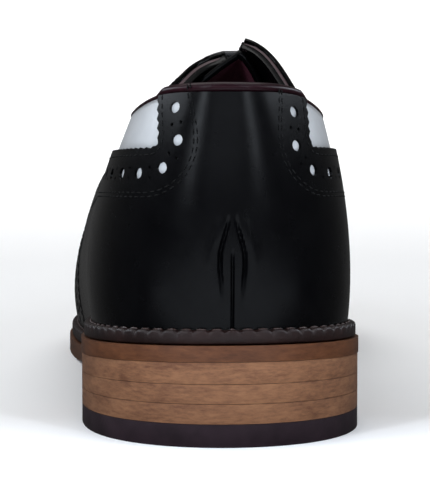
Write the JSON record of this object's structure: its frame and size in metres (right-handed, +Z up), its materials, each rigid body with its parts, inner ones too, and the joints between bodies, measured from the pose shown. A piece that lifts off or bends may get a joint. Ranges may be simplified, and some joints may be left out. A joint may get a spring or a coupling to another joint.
{
  "type": "brogue oxford shoe",
  "caption": "Two-tone brogue oxford for the left foot: black counter, wing tip and eyestays over a white upper, with dark welt, leather sole and stacked heel",
  "frame": {"origin": "centre of the bounding box in plan, at the floor the sole stands on", "axes": "+Y from heel to toe, +Z up, +X to the inner (medial) side of the foot"},
  "size_m": [0.0959, 0.3024, 0.1055],
  "materials": {
    "black": "polished black calf",
    "white": "smooth white calf",
    "burgundy": "dark burgundy lining leather",
    "welt": "dark waxed welt",
    "leather": "waxed brown sole leather",
    "rubber": "matt dark rubber",
    "lace": "waxed black cotton"
  },
  "bodies": {
    "root": {"outsole": "leather", "welt": "welt", "insole": "burgundy", "top_lift": "rubber", "heel_lift_1": "leather", "heel_lift_2": "leather", "heel_lift_3": "leather", "upper": "white", "counter": "black", "toe_cap": "black", "tongue": "black", "eyestay_lateral": "black", "eyestay_medial": "black", "collar_piping": "burgundy", "lace_bar_1": "lace", "lace_bar_2": "lace", "lace_bar_3": "lace", "lace_bar_4": "lace", "lace_bar_5": "lace"}
  },
  "joints": []
}
